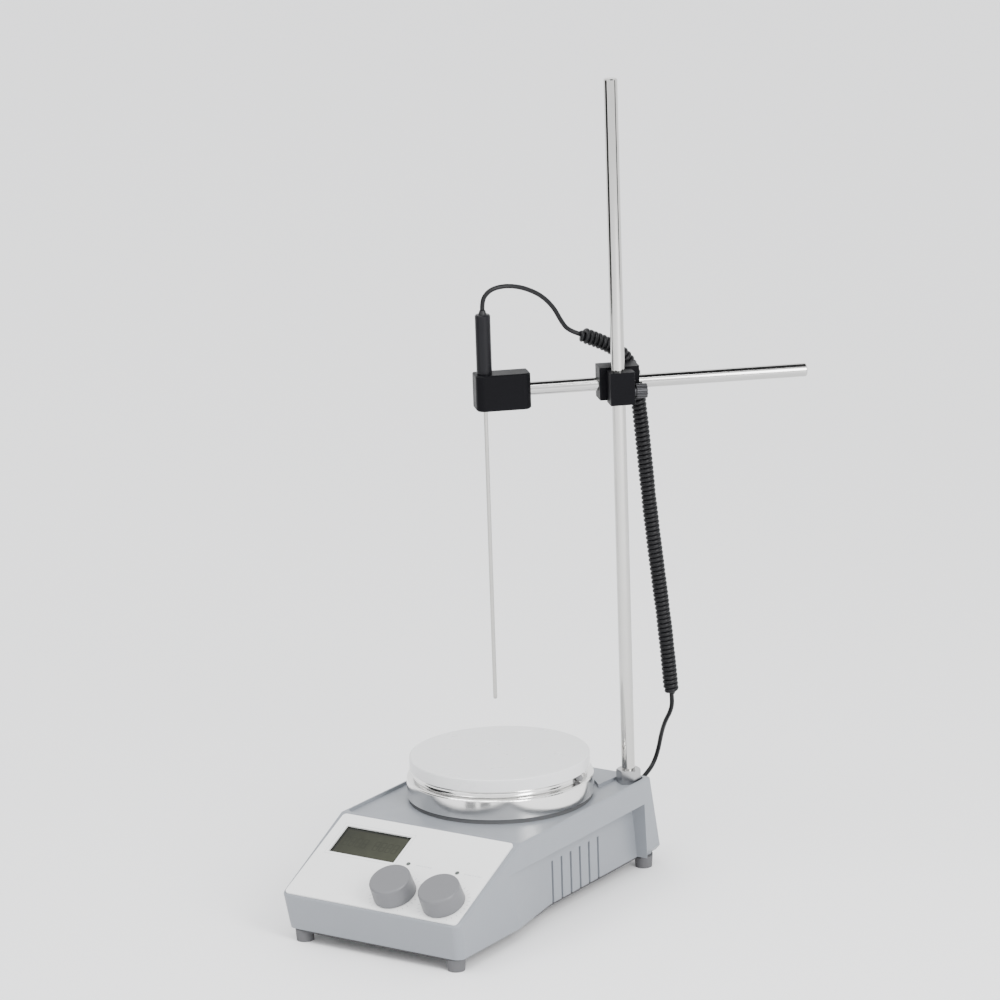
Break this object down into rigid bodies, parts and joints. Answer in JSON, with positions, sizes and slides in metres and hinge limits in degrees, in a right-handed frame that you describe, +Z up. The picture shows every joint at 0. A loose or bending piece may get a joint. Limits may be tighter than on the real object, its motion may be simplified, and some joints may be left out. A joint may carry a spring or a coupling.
{
  "type": "magnetic stirrer",
  "caption": "Hotplate magnetic stirrer with a sloping control face, a round heated plate, and a clamped temperature probe on a support rod.",
  "frame": {"origin": "on the bench, under the stirring axis, the centre of the heated plate", "axes": "+X to the right of the person who uses it, +Y away from that person, +Z up along the stirring axis and the support rod"},
  "size_m": [0.2469, 0.3634, 0.607],
  "materials": {
    "housing": "powder coated",
    "dark_metal": "satin",
    "steel": "satin",
    "chrome": "polished",
    "rubber": "matte",
    "overlay": "matte",
    "window": "gloss",
    "black_plastic": "matte",
    "knob": "satin",
    "lamp": "gloss",
    "board": "matte",
    "ceramic": "satin",
    "insulation": "matte",
    "aluminium": "satin",
    "laminations": "matte",
    "magnet": "satin",
    "brass": "satin",
    "clamp_black": "painted satin",
    "cable": "satin"
  },
  "bodies": {
    "base": {"top_housing": "housing", "base_plate": "dark_metal", "foot_front_left": "rubber", "foot_front_right": "rubber", "foot_rear_left": "rubber", "foot_rear_right": "rubber", "foot_screws": "steel", "panel_overlay": "overlay", "lcd_window": "window", "lcd_module": "black_plastic", "display_board": "board", "encoders": "steel", "indicator_lamps": "lamp", "top_plate": "ceramic", "plate_skirt": "chrome", "skirt_screw": "knob", "plate_gasket": "rubber", "heater_element": "aluminium", "insulation_disc": "insulation", "heat_shield": "steel", "plate_standoffs": "steel", "plate_screws": "steel", "plate_sensor": "steel", "motor_can": "dark_metal", "motor_bearings": "steel", "motor_stator": "laminations", "motor_bracket": "steel", "main_board": "board", "power_transformer": "laminations", "board_components": "aluminium", "m3_screws": "steel", "power_inlet": "black_plastic", "inlet_pins": "brass", "switch_case": "black_plastic", "sensor_socket": "steel", "sensor_plug": "black_plastic", "rod_socket": "steel", "cord_coil": "cable", "cord_lower": "cable"},
    "stir_dial": {"stir_knob": "knob", "stir_shaft": "steel"},
    "heat_dial": {"heat_knob": "knob", "heat_shaft": "steel"},
    "rocker": {"power_rocker": "black_plastic"},
    "rotor": {"motor_rotor": "steel", "magnet_carrier": "aluminium", "drive_magnets": "magnet"},
    "rod": {"support_rod": "chrome", "rod_nut": "chrome"},
    "head": {"boss_head": "clamp_black"},
    "head_rod_screw": {"boss_rod_screw": "steel"},
    "head_arm_screw": {"boss_arm_screw": "steel"},
    "cross_arm": {"cross_rod": "chrome"},
    "holder": {"holder_block": "clamp_black"},
    "arm_screw": {"holder_arm_screw": "steel"},
    "probe_screw": {"holder_probe_screw": "steel"},
    "probe": {"probe_handle": "black_plastic", "probe_stem": "steel", "probe_relief": "cable", "cord_upper": "cable"}
  },
  "joints": [
    {"name": "stir_drive", "type": "hinge", "parent": "base", "child": "rotor", "pos_m": [0, 0, 0.07], "axis": [0, 0, 1], "continuous": true},
    {"name": "stir_knob_turn", "type": "hinge", "parent": "base", "child": "stir_dial", "pos_m": [0.012, -0.15982, 0.05023], "axis": [0, -0.4295, 0.9031], "continuous": true},
    {"name": "heat_knob_turn", "type": "hinge", "parent": "base", "child": "heat_dial", "pos_m": [0.0543, -0.15982, 0.05023], "axis": [0, -0.4295, 0.9031], "continuous": true},
    {"name": "power_switch", "type": "hinge", "parent": "base", "child": "rocker", "pos_m": [0, 0.09333, 0.03861], "axis": [-1, 0, 0], "range_deg": [-20, 0]},
    {"name": "rod_turn", "type": "hinge", "parent": "base", "child": "rod", "pos_m": [0.068, 0.072, 0.076], "axis": [0, 0, 1], "range_deg": [-90, 90], "deforming": ["cord_upper", "cord_coil", "cord_lower"]},
    {"name": "clamp_height", "type": "slide", "parent": "rod", "child": "head", "axis": [0, 0, 1], "range_m": [-0.012, 0.2], "deforming": ["cord_upper", "cord_coil", "cord_lower"]},
    {"name": "cross_rod_slide", "type": "slide", "parent": "head", "child": "cross_arm", "axis": [0.7314, 0.682, 0], "range_m": [-0.11, 0.045], "deforming": ["cord_upper", "cord_coil", "cord_lower"]},
    {"name": "holder_tilt", "type": "hinge", "parent": "cross_arm", "child": "holder", "pos_m": [0.05777, 0.08297, 0.3783], "axis": [0.7314, 0.682, 0], "range_deg": [-90, 90], "deforming": ["cord_upper", "cord_coil", "cord_lower"]},
    {"name": "probe_depth", "type": "slide", "parent": "holder", "child": "probe", "axis": [0, 0, 1], "range_m": [-0.018, 0.018], "deforming": ["cord_upper", "cord_coil", "cord_lower"]},
    {"name": "boss_rod_screw_turn", "type": "hinge", "parent": "head", "child": "head_rod_screw", "pos_m": [0.07173, 0.07548, 0.3743], "axis": [0.7314, 0.682, 0], "range_deg": [0, 360]},
    {"name": "boss_arm_screw_turn", "type": "hinge", "parent": "head", "child": "head_arm_screw", "pos_m": [0.05612, 0.0884, 0.3783], "axis": [-0.682, 0.7314, 0], "range_deg": [0, 360]},
    {"name": "holder_arm_screw_turn", "type": "hinge", "parent": "holder", "child": "arm_screw", "pos_m": [-0.00129, 0.03487, 0.3783], "axis": [-0.682, 0.7314, 0], "range_deg": [0, 360]},
    {"name": "holder_probe_screw_turn", "type": "hinge", "parent": "holder", "child": "probe_screw", "pos_m": [-0.01723, 0.02103, 0.3783], "axis": [-0.682, 0.7314, 0], "range_deg": [0, 360]}
  ]
}
